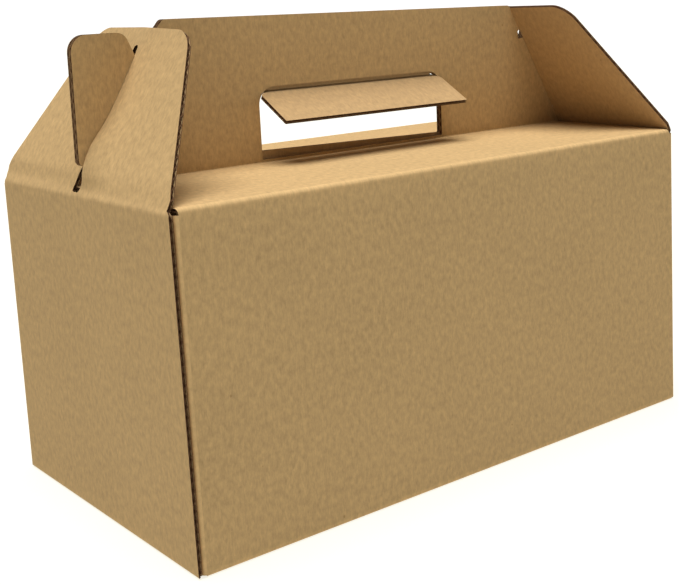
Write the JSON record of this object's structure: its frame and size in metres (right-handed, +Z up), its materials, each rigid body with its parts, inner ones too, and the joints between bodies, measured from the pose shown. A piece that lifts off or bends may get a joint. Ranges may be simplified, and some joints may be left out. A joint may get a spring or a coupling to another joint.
{
  "type": "cardboard carry box",
  "caption": "Closed cardboard gable carry box folded from one sheet, with a double handle, a hand hole with its flap, and slit end flaps locked by ears.",
  "frame": {"origin": "middle of the base, on the surface that the box stands on", "axes": "+Z up, X along the length and the handle, +Y from the front wall to the back wall"},
  "size_m": [0.245, 0.134, 0.1775],
  "materials": {
    "kraft_board": "unprinted brown kraft liner on fine corrugated board, matt",
    "kraft_inner_liner": "inner side of the same board, slightly paler and pinker, matt"
  },
  "bodies": {
    "carton": {"carton_body": "kraft_board", "front_gable": "kraft_board", "back_gable": "kraft_board"},
    "left_flap": {"left_end_flap": "kraft_board"},
    "right_flap": {"right_end_flap": "kraft_board"},
    "hole_flap": {"hand_hole_flap": "kraft_inner_liner"}
  },
  "joints": [
    {"name": "left_flap_fold", "type": "hinge", "parent": "carton", "child": "left_flap", "pos_m": [-0.12175, 0, 0.12075], "axis": [0, -1, 0], "range_deg": [0, 120]},
    {"name": "right_flap_fold", "type": "hinge", "parent": "carton", "child": "right_flap", "pos_m": [0.12175, 0, 0.12075], "axis": [0, 1, 0], "range_deg": [0, 120]},
    {"name": "hole_flap_fold", "type": "hinge", "parent": "carton", "child": "hole_flap", "pos_m": [0, 0.00085, 0.1485], "axis": [-1, 0, 0], "range_deg": [-65, 25]}
  ]
}
